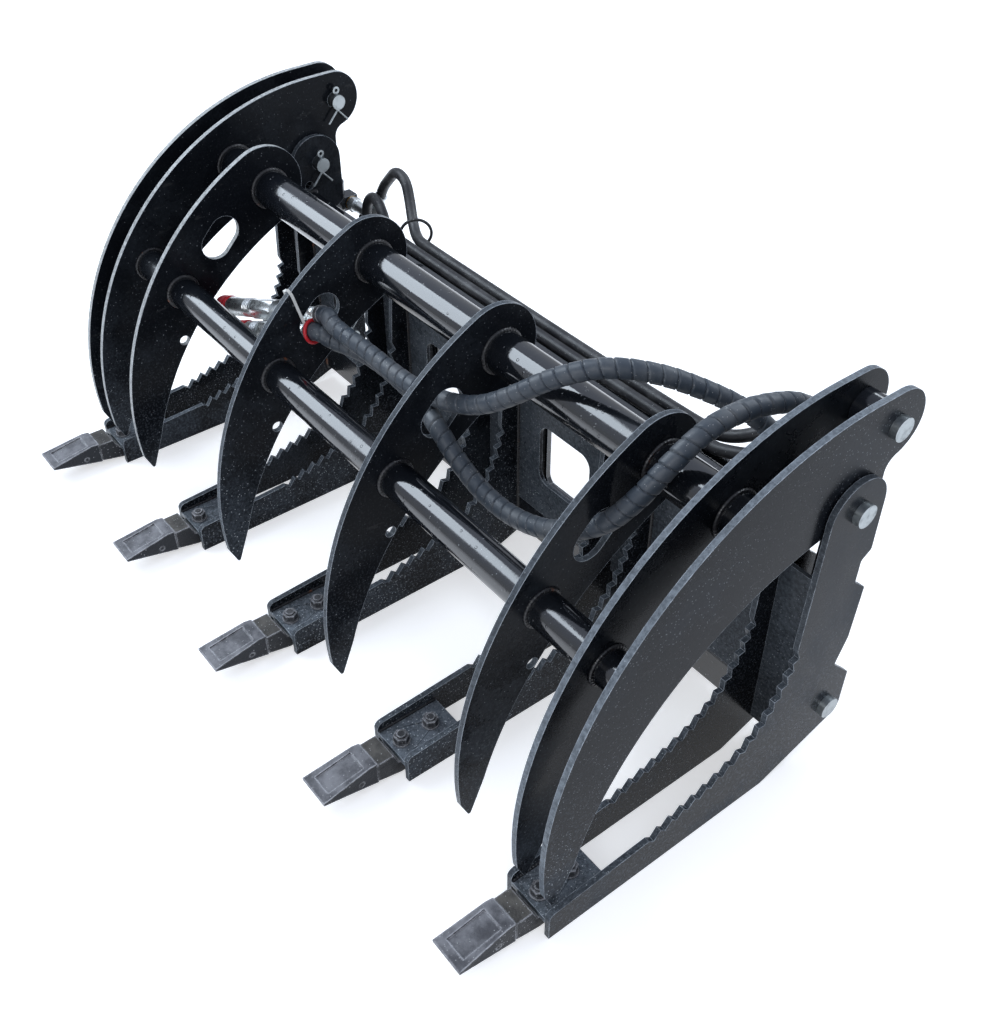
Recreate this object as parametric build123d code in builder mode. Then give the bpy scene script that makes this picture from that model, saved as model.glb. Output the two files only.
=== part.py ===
"""Root grapple, 1524 mm wide: five toothed tine channels, a hinged four-finger lid and two cylinders.

Millimetres, +Z up. +X runs along the crossbars, +Y towards the loader, and the tine tips point to -Y.
Side outlines are drawn in (u, z), where u is measured rearwards from the front face of the tines.
"""
import os
from math import atan2, cos, degrees, pi, radians, sin, sqrt

from build123d import *

# Overall layout
overall_width = 1524.0
tine_count = 5
channel_width = 98.0
plate = 10.0
tine_face = 224.0
weld_gap = 0.2

# Tine outline
tine_reach = 480.0
nose_height = 58.0
nose_corner = 12.0
flat_bottom_end = -30.0
heel_slope = 20.0
mid_tine_height = 400.0
mid_tine_depth = 97.0
jaw_curve = [(-8, 300), (-22, 245), (-45, 195), (-72, 157), (-110, 127), (-190, 96), (-285, 68)]
saw_pitch = 25.0
saw_depth = 12.0
saw_lean = 0.72

# End plates: hinge eye, base eye and the two notches that the hose fittings pass through
hinge = (66.0, 535.0)
base_pin = (103.0, 102.0)
rod_pin = (124.0, 650.0)
eye_centre = (61.0, 535.0)
eye_radius = 58.0
heel_end = 145.0
heel_corner = 25.0
small_hole_at = (39.0, 490.0)
small_hole_radius = 9.5
notch_corner = 8.0
end_plate_rear = [(147, 152), (102, 198), (121, 250), (128, 355), (99, 381), (100, 424), (119, 437)]

# Crossbars and back panels
bar_depth = 50.8
bar_height = 76.2
bar_wall = 6.0
bar_corner = 8.0
top_bar_face = 3.0
tine_brow = -1.0
panel_face = 34.0
panel = 8.0
lower_bar_bottom = 36.0
end_panel_bottom = 42.0
window_width = 136.0
window_bottom = 190.0
window_top = 322.0
window_corner = 25.0

# Quick-attach plate behind the three middle tines
attach_width = 1143.0
attach_bottom = 85.0
attach_top = 438.0
attach_thick = 10.0
attach_window_bottom = 116.0
attach_window_top = 322.0
attach_window_margin = 10.0
attach_end_strip = 40.0
lip_length = 44.0
lip_angle = 45.0
flange_length = 42.0
flange_angle = 20.0
slot_spacing = 838.0
slot_length = 64.0
slot_width = 26.0

# Tips: bolting plate, cast shank, tooth and M16 bolts
tip_top = 41.0
tip_rear = 118.0 - tine_reach
shank_width = 54.0
shank_bottom = 4.0
shank_toe = (-27.0 - tine_reach, 10.0)
shank_rise = 14.0
shank_lip = 3.0
shank_fit = 2.0
bolt_u = [21.0 - tine_reach, 80.0 - tine_reach]
bolt_radius = 8.0
bolt_clear = 0.5
bolt_head_radius = 13.0
bolt_head = 8.0
nut_flats = 24.0
nut_height = 13.0
washer_radius = 15.0
washer = 3.0
bolt_proud = 3.0
tooth_width = 65.0
tooth_rear_width = 54.0
tooth_rear = -44.0 - tine_reach
tooth_length = 105.0
tooth_bottom = 12.0
tooth_top = 58.0
tooth_crest = 2.0
tooth_crest_back = 14.0
tooth_lip = (42.0, 47.0)
tooth_belly = (tooth_rear - 59.0, 29.0)
tooth_gap = 1.0
pocket_depth = 3.0
pocket_length = 68.0
pocket_width = 40.0
pocket_back = 8.0
nose_wall = 6.0
nose_gap = 0.4
nose_length = 64.0
nose_front = (33.0, 41.0)
nose_root = 19.0
tooth_pin_radius = 5.0
tooth_pin_length = 57.0
tooth_pin_at = (tooth_rear - 32.0, 33.0)

# Lid outline
lid_arc_centre = (72.0, 152.0)
lid_arc_radius = 555.0
lid_inner_centre = (84.0, -13.0)
lid_inner_radius = 528.6
lid_tip = (-464.0, 54.0)
lid_tip_taper = (71.0, 38.0)
lid_tip_round = 3.5
lug_radius = 57.0
hub_radius = 55.0
lug_fillet = 26.0
hub_fillet = 18.0
lid_side_gap = 3.0
finger_inner_centre = (157.4, -60.4)
finger_top_angle = 114.7
finger_top_radius = 81.5
finger_count = 4
finger_inset = 168.0
hose_hole_at = (-234.0, 511.0)
hose_hole_width = 62.0
hose_hole_shift = 28.0
hose_hole_angle = 45.0
finger_small_hole_at = (-345.0, 322.0)
finger_small_hole = 10.0
upper_tube_at = (-115.0, 578.0)
upper_tube_radius = 36.5
lower_tube_at = (-329.0, 427.0)
lower_tube_radius = 30.15
tube_wall = 5.0

# Pins and cotters
pin_radius = 15.0
pin_fit = 0.1
pin_head_radius = 19.0
pin_head = 12.0
pin_proud = 20.0
cotter_inset = 9.0
cotter_radius = 2.8
cotter_hole_radius = 3.1
cotter_eye_radius = 5.6
cotter_wire = 2.1
cotter_leg = 34.0
cotter_spread = 42.0

# Cylinders
bore_radius = 25.0
barrel_radius = 30.0
barrel_bottom = 22.0
barrel_floor = 48.0
barrel_top = 345.0
base_bush_radius = 25.0
base_bush_gap = 2.0
gland_depth = 27.0
gland_collar = 12.0
cylinder_fit = 0.1
rod_radius = 15.0
rod_eye_radius = 29.0
rod_eye_gap = 1.0
open_pivot_play = 9.2
piston_top = 296.0
piston_length = 34.0
piston_seat_radius = 11.0
piston_nut = 14.0
piston_nut_flats = 32.0
upper_port = 302.5
lower_port = 96.0
port_block = 32.0
port_reach = 58.0
port_bore = 6.0
port_axis = 42.5

# Hose fittings
fitting_radius = 12.0
fitting_nut = 30.0
fitting_nut_length = 18.0
seal_radius = 15.0
seal = 3.0
stub = 22.0
ferrule_radius = 13.5
ferrule_length = 30.0
supply_riser_inset = 65.0
upper_riser_inset = 95.0
lower_tee_inset = 91.0
lower_riser_inset = 123.0
left_elbow_inset = 109.0
left_elbow_tilt = 65.0
hose_lead = 24.0

# Hoses, whose points below are listed for outer fingers at drawn_finger_x
hose_radius = 11.0
guard_radius = 16.0
bend_share = 0.45
drawn_finger_x = 545.0

# Couplers at the free ends of the supply hoses, with (shank, nut, body) lengths
coupler_1_lengths = (160.0, 78.0, 142.0)
coupler_2_lengths = (110.0, 60.0, 98.0)
coupler_radius = 18.5
coupler_nut = 36.0
coupler_shank = 13.0
cap_radius = 20.5
cap_length = 36.0
cap_wall = 3.0

# Hose ties
tie_thick = 2.0
tie_width = 5.0
tie_x = -320.0
tie_clear = 1.0

end_centre = (overall_width - channel_width) / 2
tine_pitch = 2 * end_centre / (tine_count - 1)
tine_x = [-end_centre + tine_pitch * i for i in range(tine_count)]
channel_inside = channel_width - 2 * plate
end_inner_face = end_centre - channel_width / 2
lid_plate_x = channel_inside / 2 - lid_side_gap - plate / 2
lid_tube_length = 2 * (end_centre + lid_plate_x) - plate
cylinder_space = 2 * lid_plate_x - plate
finger_x = end_centre - finger_inset
finger_places = [finger_x * (2 * i / (finger_count - 1) - 1) for i in range(finger_count)]
top_bar_bottom = mid_tine_height
lower_bar_top = lower_bar_bottom + bar_height
heel_rise = sin(radians(heel_slope)) / cos(radians(heel_slope))
cylinder_lean = atan2(rod_pin[0] - base_pin[0], rod_pin[1] - base_pin[1])
cylinder_length = sqrt((rod_pin[0] - base_pin[0]) ** 2 + (rod_pin[1] - base_pin[1]) ** 2)

os.makedirs("parts", exist_ok=True)


def side_plane(x):
    """Plane across X at x, whose own axes are u (rearwards) and z."""
    return Plane(origin=(x, tine_face, 0), x_dir=(0, 1, 0), z_dir=(1, 0, 0))


def place(x, u, z):
    return Vector(x, tine_face + u, z)


def save(shape, name):
    shape.label = name
    export_step(shape, f"parts/{name}.step")


def heel_z(u):
    return (u - flat_bottom_end) * heel_rise


def saw_points():
    """Saw teeth along the jaw curve, from the top of the curve down to the tine's flat."""
    with BuildLine() as guide:
        Spline(*jaw_curve)
    edge = guide.edges()[0]
    teeth = round(edge.length / saw_pitch)
    points = []
    for i in range(teeth):
        root = edge @ (i / teeth)
        tip_at = (i + saw_lean) / teeth
        along = edge % tip_at
        tip = (edge @ tip_at) + Vector(along.Y, -along.X) * -saw_depth
        points += [(root.X, root.Y), (tip.X, tip.Y)]
    return points + [jaw_curve[-1]]


def tine_front():
    """Front of every tine plate, from the top of the saw teeth round the nose to the heel."""
    Polyline(*saw_points(), (-tine_reach + nose_corner, nose_height))
    RadiusArc((-tine_reach + nose_corner, nose_height), (-tine_reach, nose_height - nose_corner),
              -nose_corner)
    Polyline((-tine_reach, nose_height - nose_corner), (-tine_reach, 0), (flat_bottom_end, 0))


# Outlines of the plates, drawn once and used for every copy
with BuildSketch() as mid_tine_outline:
    with BuildLine():
        tine_front()
        Polyline((flat_bottom_end, 0), (mid_tine_depth, heel_z(mid_tine_depth)),
                 (mid_tine_depth, mid_tine_height), (tine_brow, mid_tine_height), jaw_curve[0])
    make_face()
    with Locations((panel_face + bar_depth / 2, lower_bar_bottom + bar_height / 2)):
        RectangleRounded(bar_depth + 2 * weld_gap, bar_height + 2 * weld_gap, bar_corner, mode=Mode.SUBTRACT)

with BuildSketch() as end_tine_outline:
    with BuildLine():
        tine_front()
        eye_rear = (eye_centre[0] + eye_radius, eye_centre[1])
        eye_front = (eye_centre[0] - eye_radius, eye_centre[1])
        FilletPolyline((flat_bottom_end, 0), (heel_end, heel_z(heel_end)), *end_plate_rear, eye_rear,
                       radius=[heel_corner] + [notch_corner] * len(end_plate_rear))
        ThreePointArc(eye_rear, (eye_centre[0], eye_centre[1] + eye_radius), eye_front)
        Line(eye_front, jaw_curve[0])
    make_face()
    with Locations(hinge, base_pin):
        Circle(pin_radius + pin_fit, mode=Mode.SUBTRACT)


def point_tip(inner_centre, inner_radius):
    """Tapers the outline under way from its inner and outer arcs to a point at lid_tip."""
    inner_z, outer_z = lid_tip[1] + lid_tip_taper[0], lid_tip[1] + lid_tip_taper[1]
    inner_u = inner_centre[0] - sqrt(inner_radius ** 2 - (inner_z - inner_centre[1]) ** 2)
    outer_u = lid_arc_centre[0] - sqrt(lid_arc_radius ** 2 - (outer_z - lid_arc_centre[1]) ** 2)
    Polygon((inner_u, inner_z), lid_tip, (inner_u, 0), align=None, mode=Mode.SUBTRACT)
    Polygon((outer_u, outer_z), (outer_u, 0), lid_tip, align=None, mode=Mode.SUBTRACT)


with BuildSketch() as lid_plate_outline:
    top = lid_arc_centre[1] + lid_arc_radius
    with Locations(lid_arc_centre):
        Circle(lid_arc_radius)
    with Locations(lid_inner_centre):
        Circle(lid_inner_radius, mode=Mode.SUBTRACT)
    with Locations((lid_arc_centre[0], lid_tip[1])):
        Rectangle(2 * lid_arc_radius, lid_arc_radius * 2, align=(Align.MAX, Align.MIN), mode=Mode.INTERSECT)
    point_tip(lid_inner_centre, lid_inner_radius)
    with BuildLine():
        rear = hinge[0] + hub_radius
        Polyline((lid_arc_centre[0], top), (rod_pin[0], top), rod_pin, (rear, rod_pin[1]), (rear, hinge[1]),
                 hinge, (hinge[0], lid_inner_centre[1] + lid_inner_radius),
                 (lid_arc_centre[0] - hub_radius, hinge[1]), (lid_arc_centre[0], top))
    make_face()
    with Locations(rod_pin):
        Circle(lug_radius)
    with Locations(hinge):
        Circle(hub_radius)
    fillet(lid_plate_outline.vertices().sort_by_distance((rear, rod_pin[1] - lug_radius))[0], lug_fillet)
    hub_joint = (hinge[0] - hub_radius, hinge[1] - hub_radius / 2)
    fillet(lid_plate_outline.vertices().sort_by_distance(hub_joint)[0], hub_fillet)
    fillet(lid_plate_outline.vertices().sort_by_distance(lid_tip)[0], lid_tip_round)
    with Locations(hinge, rod_pin):
        Circle(pin_radius + pin_fit, mode=Mode.SUBTRACT)

finger_top_reach = lid_arc_radius - finger_top_radius
finger_top = (lid_arc_centre[0] + finger_top_reach * cos(radians(finger_top_angle)),
              lid_arc_centre[1] + finger_top_reach * sin(radians(finger_top_angle)))
finger_inner_radius = sqrt((finger_top[0] - finger_inner_centre[0]) ** 2
                           + (finger_top[1] - finger_inner_centre[1]) ** 2) - finger_top_radius
with BuildSketch() as finger_outline:
    with Locations(lid_arc_centre):
        Circle(lid_arc_radius)
    with Locations(finger_inner_centre):
        Circle(finger_inner_radius, mode=Mode.SUBTRACT)
    with Locations(Location(finger_top, finger_top_angle - 90)):
        Rectangle(2 * lid_arc_radius, 2 * lid_arc_radius, align=(Align.MAX, Align.CENTER),
                  mode=Mode.INTERSECT)
    with Locations((finger_top[0], lid_tip[1])):
        Rectangle(4 * lid_arc_radius, 2 * lid_arc_radius, align=(Align.CENTER, Align.MIN),
                  mode=Mode.INTERSECT)
    point_tip(finger_inner_centre, finger_inner_radius)
    with Locations(finger_top):
        Circle(finger_top_radius)
    fillet(finger_outline.vertices().sort_by_distance(lid_tip)[0], lid_tip_round)
    with Locations(Location(hose_hole_at, hose_hole_angle)):
        SlotCenterToCenter(hose_hole_shift, hose_hole_width, mode=Mode.SUBTRACT)
    with Locations(finger_small_hole_at):
        Circle(finger_small_hole, mode=Mode.SUBTRACT)


def plate_on_side(outline, x, holes, name):
    """A plate centred on x, with round (centre, radius) holes besides those of its outline."""
    with BuildPart() as piece:
        with BuildSketch(side_plane(x)):
            add(outline)
            for centre, radius in holes:
                with Locations(centre):
                    Circle(radius, mode=Mode.SUBTRACT)
        extrude(amount=plate / 2, both=True)
    save(piece.part, name)


# Tine plates
for i, x in enumerate(tine_x):
    for side, word in ((-1, "left"), (1, "right")):
        plate_x = x + side * (channel_width - plate) / 2
        if i in (0, tine_count - 1):
            outer = side * x > 0
            holes = [] if outer else [(small_hole_at, small_hole_radius)]
            plate_on_side(end_tine_outline.sketch, plate_x, holes,
                          f"tine_{i + 1}_{'outer' if outer else 'inner'}_plate")
        else:
            plate_on_side(mid_tine_outline.sketch, plate_x, [], f"tine_{i + 1}_{word}_plate")


def bar(start, end, radius, mode=Mode.ADD):
    """Round bar from start to end, in the part under way."""
    with BuildSketch(Plane(origin=start, z_dir=end - start)) as section:
        Circle(radius)
    extrude(section.sketch, amount=(end - start).length, mode=mode)


def hexagon(start, end, flats, mode=Mode.ADD):
    """Hexagonal bar from start to end, in the part under way."""
    with BuildSketch(Plane(origin=start, z_dir=end - start)) as section:
        RegularPolygon(flats / 2, 6, major_radius=False)
    extrude(section.sketch, amount=(end - start).length, mode=mode)


def along_x(x0, x1, at, radius, mode=Mode.ADD):
    """Round bar along X from x0 to x1 at (u, z)."""
    bar(place(x0, *at), place(x1, *at), radius, mode)


# Crossbars: rectangular tubes between the end channels
def crossbar(face, bottom, name):
    with BuildPart() as tube:
        with BuildSketch(side_plane(-end_inner_face)):
            with Locations((face + bar_depth / 2, bottom + bar_height / 2)):
                RectangleRounded(bar_depth, bar_height, bar_corner)
                RectangleRounded(bar_depth - 2 * bar_wall, bar_height - 2 * bar_wall, bar_corner - bar_wall,
                                 mode=Mode.SUBTRACT)
        extrude(amount=2 * end_inner_face)
    save(tube.part, name)


crossbar(top_bar_face, top_bar_bottom, "top_crossbar")
crossbar(panel_face, lower_bar_bottom, "lower_crossbar")

# Back panels with a window between the tines, and plain webs inside the channels
panel_plane = Plane(origin=(0, tine_face + panel_face, 0), x_dir=(1, 0, 0), z_dir=(0, -1, 0))
with BuildPart() as back_panels:
    with BuildSketch(panel_plane):
        for i in range(tine_count - 1):
            middle = (tine_x[i] + tine_x[i + 1]) / 2
            with Locations((middle, (lower_bar_top + top_bar_bottom) / 2)):
                Rectangle(tine_pitch - channel_width, top_bar_bottom - lower_bar_top)
            with Locations((middle, (window_bottom + window_top) / 2)):
                RectangleRounded(window_width, window_top - window_bottom, window_corner, mode=Mode.SUBTRACT)
    extrude(amount=-panel)
save(back_panels.part, "back_panels")

with BuildPart() as channel_webs:
    with BuildSketch(panel_plane):
        for i, x in enumerate(tine_x):
            at_end = i in (0, tine_count - 1)
            bottom = end_panel_bottom if at_end else lower_bar_top
            with Locations((x, (bottom + top_bar_bottom) / 2)):
                Rectangle(channel_inside, top_bar_bottom - bottom)
    extrude(amount=-panel)
save(channel_webs.part, "channel_webs")

# Quick-attach plate: hooked lip at the top, flange with two pin slots at the bottom
attach_middle = mid_tine_depth + attach_thick / 2
flange_rear = attach_middle + flange_length * cos(radians(flange_angle))
with BuildPart() as mounting_plate:
    with BuildSketch(side_plane(-attach_width / 2)):
        with Locations((attach_middle, (attach_bottom + attach_top) / 2)):
            Rectangle(attach_thick, attach_top - attach_bottom)
        for end_z, length, angle in ((attach_top, lip_length, -lip_angle),
                                     (attach_bottom, flange_length, -flange_angle)):
            with Locations((attach_middle, end_z)):
                Circle(attach_thick / 2)
            with Locations(Location((attach_middle, end_z), angle)):
                Rectangle(length, attach_thick, align=(Align.MIN, Align.CENTER))
    extrude(amount=attach_width)
    with BuildSketch(Plane.XY.offset(attach_bottom + attach_thick)):
        for side in (-1, 1):
            with Locations((side * slot_spacing / 2,
                            tine_face + (attach_middle + flange_rear + attach_thick) / 2)):
                SlotOverall(slot_length, slot_width)
    extrude(amount=-flange_length, mode=Mode.SUBTRACT)
    with BuildSketch(Plane(origin=(0, tine_face + mid_tine_depth, 0), x_dir=(1, 0, 0), z_dir=(0, -1, 0))):
        for i in range(tine_count - 1):
            beside_tine = channel_width / 2 + attach_window_margin
            left = max(tine_x[i] + beside_tine, attach_end_strip - attach_width / 2)
            right = min(tine_x[i + 1] - beside_tine, attach_width / 2 - attach_end_strip)
            with Locations(((left + right) / 2, (attach_window_bottom + attach_window_top) / 2)):
                RectangleRounded(right - left, attach_window_top - attach_window_bottom, window_corner)
    extrude(amount=-attach_thick, mode=Mode.SUBTRACT)
save(mounting_plate.part, "mounting_plate")

# Bolting plates across the tine noses
with BuildPart() as tip_plates:
    with BuildSketch(Plane.XY.offset(tip_top - plate)):
        for x in tine_x:
            with Locations((x, tine_face + (tip_rear - tine_reach) / 2)):
                Rectangle(channel_inside, tip_rear + tine_reach)
            with Locations(*[(x, tine_face + u) for u in bolt_u]):
                Circle(bolt_radius + bolt_clear, mode=Mode.SUBTRACT)
    extrude(amount=plate)
save(tip_plates.part, "tip_plates")

# Teeth: cast shanks under the bolting plates, and digging teeth pinned on their noses
shank_top = tip_top - plate
neck_top = tip_top + plate
nose_half = tooth_rear_width / 2 - nose_wall
nose_end = tooth_rear - nose_length
nose_profile = [(tooth_rear + plate, neck_top), (nose_end, nose_front[1]), (nose_end, nose_front[0]),
                (tooth_rear + plate, nose_root)]
collar_front = tooth_rear + tooth_gap
collar_top = neck_top + shank_lip
shank_profile = [(tip_rear, shank_bottom), (-tine_reach, shank_bottom), shank_toe, (collar_front, shank_rise),
                 (collar_front, collar_top), (-tine_reach - plate - shank_fit, collar_top),
                 (-tine_reach - shank_fit, shank_top), (tip_rear, shank_top)]

with BuildPart() as tooth_shanks:
    for x in tine_x:
        with BuildSketch(side_plane(x)):
            with BuildLine():
                Polyline(*shank_profile, close=True)
            make_face()
        extrude(amount=shank_width / 2, both=True)
        with BuildSketch(side_plane(x)):
            with BuildLine():
                Polyline(*nose_profile, close=True)
            make_face()
        extrude(amount=nose_half, both=True)
        with BuildSketch(Plane.XY.offset(shank_bottom)):
            with Locations(*[(x, tine_face + u) for u in bolt_u]):
                Circle(bolt_head_radius + bolt_clear)
        extrude(amount=bolt_head + bolt_clear, mode=Mode.SUBTRACT)
        with BuildSketch(Plane.XY.offset(shank_bottom)):
            with Locations(*[(x, tine_face + u) for u in bolt_u]):
                Circle(bolt_radius + bolt_clear)
        extrude(amount=shank_top, mode=Mode.SUBTRACT)
        along_x(x - shank_width, x + shank_width, tooth_pin_at, tooth_pin_radius + pin_fit, Mode.SUBTRACT)
save(tooth_shanks.part, "tooth_shanks")

tooth_tip = tooth_rear - tooth_length
crest = (tooth_rear - tooth_crest_back, tooth_top + tooth_crest)
top_slope = atan2(crest[1] - tooth_lip[1], crest[0] - tooth_tip)
for i, x in enumerate(tine_x):
    with BuildPart() as tooth:
        with BuildSketch(side_plane(x)):
            with BuildLine():
                Polyline((tooth_rear, tooth_bottom), (tooth_rear, tooth_top), crest,
                         (tooth_tip, tooth_lip[1]),
                         (tooth_tip, tooth_lip[0]))
                ThreePointArc((tooth_tip, tooth_lip[0]), tooth_belly, (tooth_rear, tooth_bottom))
            make_face()
        extrude(amount=tooth_width / 2, both=True)
        with BuildSketch(Plane.XY):
            Polygon((x - tooth_rear_width / 2, tine_face + tooth_rear),
                    (x - tooth_width / 2, tine_face + tooth_tip),
                    (x + tooth_width / 2, tine_face + tooth_tip), (x + tooth_rear_width / 2,
                                                                   tine_face + tooth_rear),
                    align=None)
        extrude(amount=2 * tooth_top, mode=Mode.INTERSECT)
        top_face = Plane(origin=place(x, *crest), x_dir=(1, 0, 0), z_dir=(0, -sin(top_slope), cos(top_slope)))
        with BuildSketch(top_face):
            with Locations((0, -pocket_back)):
                Rectangle(pocket_width, pocket_length, align=(Align.CENTER, Align.MAX))
        extrude(amount=-pocket_depth, mode=Mode.SUBTRACT)
        with BuildSketch(side_plane(x)):
            with BuildLine():
                Polyline(*nose_profile, close=True)
            make_face()
            offset(amount=nose_gap)
        extrude(amount=nose_half + nose_gap, both=True, mode=Mode.SUBTRACT)
        along_x(x - tooth_width, x + tooth_width, tooth_pin_at, tooth_pin_radius + pin_fit, Mode.SUBTRACT)
    save(tooth.part, f"tooth_{i + 1}")

with BuildPart() as tooth_pins:
    for x in tine_x:
        along_x(x - tooth_pin_length / 2, x + tooth_pin_length / 2, tooth_pin_at, tooth_pin_radius)
save(tooth_pins.part, "tooth_pins")

# Tooth fasteners: countersunk heads below, washers and nuts on top
nut_bottom = tip_top + washer
with BuildPart() as tooth_bolts:
    for x in tine_x:
        for u in bolt_u:
            head_z = shank_bottom + bolt_clear
            bar(place(x, u, head_z), place(x, u, head_z + bolt_head), bolt_head_radius)
            bar(place(x, u, head_z), place(x, u, nut_bottom + nut_height + bolt_proud), bolt_radius)
save(tooth_bolts.part, "tooth_bolts")

with BuildPart() as tooth_washers:
    for x in tine_x:
        for u in bolt_u:
            bar(place(x, u, tip_top), place(x, u, nut_bottom), washer_radius)
            bar(place(x, u, tip_top), place(x, u, nut_bottom), bolt_radius + bolt_clear, Mode.SUBTRACT)
save(tooth_washers.part, "tooth_washers")

with BuildPart() as tooth_nuts:
    for x in tine_x:
        for u in bolt_u:
            hexagon(place(x, u, nut_bottom), place(x, u, nut_bottom + nut_height), nut_flats)
            bar(place(x, u, nut_bottom), place(x, u, nut_bottom + nut_height), bolt_radius + pin_fit,
                Mode.SUBTRACT)
save(tooth_nuts.part, "tooth_nuts")

# Lid plates, fingers and their two tubes
tube_holes = [(upper_tube_at, upper_tube_radius + weld_gap), (lower_tube_at, lower_tube_radius + weld_gap)]
lid_plate_places = [-end_centre - lid_plate_x, -end_centre + lid_plate_x, end_centre - lid_plate_x,
                    end_centre + lid_plate_x]
for i, x in enumerate(lid_plate_places):
    plate_on_side(lid_plate_outline.sketch, x, [] if i in (0, 3) else tube_holes, f"lid_plate_{i + 1}")
for i, x in enumerate(finger_places):
    plate_on_side(finger_outline.sketch, x, tube_holes, f"lid_finger_{i + 1}")

for at, radius, name in ((upper_tube_at, upper_tube_radius, "upper_lid_tube"),
                         (lower_tube_at, lower_tube_radius, "lower_lid_tube")):
    with BuildPart() as lid_tube:
        along_x(-lid_tube_length / 2, lid_tube_length / 2, at, radius)
        along_x(-lid_tube_length / 2, lid_tube_length / 2, at, radius - tube_wall, Mode.SUBTRACT)
    save(lid_tube.part, name)


# Clevis pins with a head outboard and a cotter pin inboard
def clevis_pin(side, face, inner_end, at):
    """Pin whose head sits on the face at side * face and whose end comes out at side * inner_end."""
    along_x(side * inner_end, side * face, at, pin_radius)
    along_x(side * face, side * (face + pin_head), at, pin_head_radius)
    hole = place(side * (inner_end + cotter_inset), *at)
    reach = Vector(0, 0, 2 * pin_radius)
    bar(hole - reach, hole + reach, cotter_hole_radius, Mode.SUBTRACT)


def cotter_pin(side, inner_end, at, eye):
    """Cotter pin with its eye above the pin (eye = 1) or below it (-1), and its two legs spread beyond."""
    x = side * (inner_end + cotter_inset)
    crown = place(x, at[0], at[1] + eye * (pin_radius + cotter_radius))
    fork = place(x, at[0], at[1] - eye * (pin_radius + cotter_radius))
    bar(fork, crown, cotter_radius)
    eye_at = (at[0], crown.Z + eye * cotter_eye_radius)
    along_x(x - cotter_wire, x + cotter_wire, eye_at, cotter_eye_radius + cotter_wire)
    along_x(x - cotter_wire, x + cotter_wire, eye_at, cotter_eye_radius - cotter_wire, Mode.SUBTRACT)
    for lean in (-1, 1):
        bend = radians(cotter_spread)
        leg = Vector(0, lean * sin(bend), -eye * cos(bend)) * cotter_leg
        bar(fork, fork + leg, cotter_wire)


frame_pin_face = end_centre + channel_width / 2
frame_pin_end = end_inner_face - pin_proud
rod_pin_face = end_centre + lid_plate_x + plate / 2
rod_pin_end = end_centre - lid_plate_x - plate / 2 - pin_proud

with BuildPart() as frame_pins:
    for side in (-1, 1):
        for at in (hinge, base_pin):
            clevis_pin(side, frame_pin_face, frame_pin_end, at)
save(frame_pins.part, "frame_pins")

with BuildPart() as rod_pins:
    for side in (-1, 1):
        clevis_pin(side, rod_pin_face, rod_pin_end, rod_pin)
save(rod_pins.part, "rod_pins")

with BuildPart() as frame_cotter_pins:
    for side in (-1, 1):
        cotter_pin(side, frame_pin_end, hinge, 1)
        cotter_pin(side, frame_pin_end, base_pin, -1)
save(frame_cotter_pins.part, "frame_cotter_pins")

with BuildPart() as lid_cotter_pins:
    for side in (-1, 1):
        cotter_pin(side, rod_pin_end, rod_pin, 1)
save(lid_cotter_pins.part, "lid_cotter_pins")

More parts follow.
